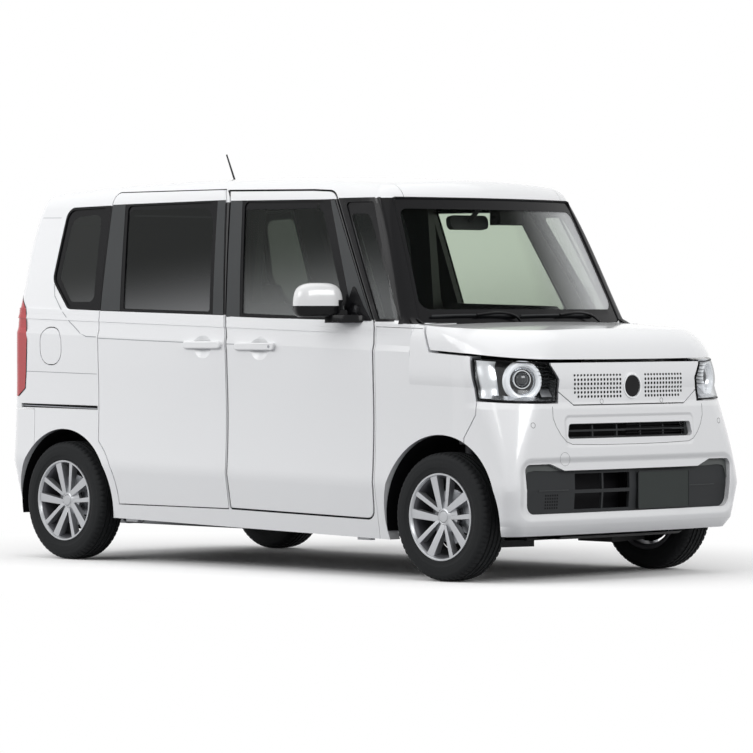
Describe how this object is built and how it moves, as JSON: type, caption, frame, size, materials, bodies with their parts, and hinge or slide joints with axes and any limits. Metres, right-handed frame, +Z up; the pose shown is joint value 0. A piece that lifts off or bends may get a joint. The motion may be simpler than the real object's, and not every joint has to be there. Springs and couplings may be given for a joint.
{
  "type": "boxy kei wagon car",
  "caption": "Tall boxy kei wagon with hinged front doors, sliding rear doors, lifting hood and tailgate, steered front wheels and free-rolling wheels.",
  "frame": {"origin": "on the ground under the middle of the car's outer box", "axes": "+X towards the front, +Y to the car's left, +Z up"},
  "size_m": [3.3909, 1.8872, 1.9174],
  "materials": {
    "body_paint": "pearl white paint",
    "glass": "tinted glass",
    "lamp_clear": "clear lamp cover",
    "lamp_red": "red lamp cover",
    "trim_dark": "grained dark grey plastic",
    "plate": "blank plate",
    "tyre": "black rubber",
    "alloy": "silver painted alloy",
    "steel": "bare steel",
    "underbody": "dark painted steel",
    "cast": "cast metal",
    "cabin_plastic": "grained cabin plastic",
    "seat_cloth": "grey woven cloth",
    "mirror_cap": "white painted plastic"
  },
  "bodies": {
    "body": {"body_sides": "body_paint", "roof_panel": "body_paint", "front_fenders": "body_paint", "front_bumper": "body_paint", "grille_panel": "body_paint", "bumper_grilles": "trim_dark", "number_plate": "plate", "headlamps": "lamp_clear", "windshield": "glass", "quarter_glass": "glass", "sliding_doors": "body_paint", "sliding_door_glass": "glass", "rear_bumper": "body_paint", "tail_lamps": "lamp_red", "floor_pan": "underbody", "front_structure": "underbody", "cowl_panel": "trim_dark", "radiator": "steel", "engine_block": "cast", "front_subframe": "underbody", "rear_axle_beam": "underbody", "exhaust": "steel", "dashboard": "cabin_plastic", "steering_wheel": "cabin_plastic", "front_seats": "seat_cloth", "rear_seats": "seat_cloth", "antenna": "trim_dark", "interior_mirror": "cabin_plastic", "wipers": "trim_dark"},
    "door_right": {"front_door_right": "body_paint", "front_door_glass_right": "glass", "door_mirror_right": "mirror_cap"},
    "door_left": {"front_door_left": "body_paint", "front_door_glass_left": "glass", "door_mirror_left": "mirror_cap"},
    "hood": {"hood": "body_paint"},
    "tailgate": {"tailgate": "body_paint", "tailgate_glass": "glass"},
    "fuel_lid": {"fuel_lid": "body_paint"},
    "knuckle_right": {"knuckle_right": "cast"},
    "knuckle_left": {"knuckle_left": "cast"},
    "wheel_front_right": {"tyre_front_right": "tyre", "rim_front_right": "alloy"},
    "wheel_front_left": {"tyre_front_left": "tyre", "rim_front_left": "alloy"},
    "wheel_rear_right": {"tyre_rear_right": "tyre", "rim_rear_right": "alloy"},
    "wheel_rear_left": {"tyre_rear_left": "tyre", "rim_rear_left": "alloy"}
  },
  "joints": [
    {"name": "steer_right", "type": "hinge", "parent": "body", "child": "knuckle_right", "pos_m": [1.2275, -0.54, 0.2785], "axis": [0, 0, 1], "range_deg": [-34, 34]},
    {"name": "steer_left", "type": "hinge", "parent": "body", "child": "knuckle_left", "pos_m": [1.2275, 0.54, 0.2785], "axis": [0, 0, 1], "range_deg": [-34, 34]},
    {"name": "roll_front_right", "type": "hinge", "parent": "knuckle_right", "child": "wheel_front_right", "pos_m": [1.2275, -0.6525, 0.2785], "axis": [0, 1, 0], "continuous": true},
    {"name": "roll_front_left", "type": "hinge", "parent": "knuckle_left", "child": "wheel_front_left", "pos_m": [1.2275, 0.6525, 0.2785], "axis": [0, 1, 0], "continuous": true},
    {"name": "roll_rear_right", "type": "hinge", "parent": "body", "child": "wheel_rear_right", "pos_m": [-1.2925, -0.6525, 0.2785], "axis": [0, 1, 0], "continuous": true},
    {"name": "roll_rear_left", "type": "hinge", "parent": "body", "child": "wheel_rear_left", "pos_m": [-1.2925, 0.6525, 0.2785], "axis": [0, 1, 0], "continuous": true},
    {"name": "door_right_hinge", "type": "hinge", "parent": "body", "child": "door_right", "pos_m": [0.809, -0.73, 0.7], "axis": [0, 0, 1], "range_deg": [0, 65]},
    {"name": "door_left_hinge", "type": "hinge", "parent": "body", "child": "door_left", "pos_m": [0.809, 0.73, 0.7], "axis": [0, 0, -1], "range_deg": [0, 65]},
    {"name": "hood_hinge", "type": "hinge", "parent": "body", "child": "hood", "pos_m": [1.085, 0, 1.11], "axis": [0, -1, 0], "range_deg": [0, 50]},
    {"name": "tailgate_hinge", "type": "hinge", "parent": "body", "child": "tailgate", "pos_m": [-1.628, 0, 1.652], "axis": [0, 1, 0], "range_deg": [0, 85]},
    {"name": "fuel_lid_hinge", "type": "hinge", "parent": "body", "child": "fuel_lid", "pos_m": [-1.307, -0.731, 1.006], "axis": [0, 0, 1], "range_deg": [0, 84]}
  ],
  "couplings": [
    {"joint": "steer_left", "follows": "steer_right", "ratio": 1}
  ]
}
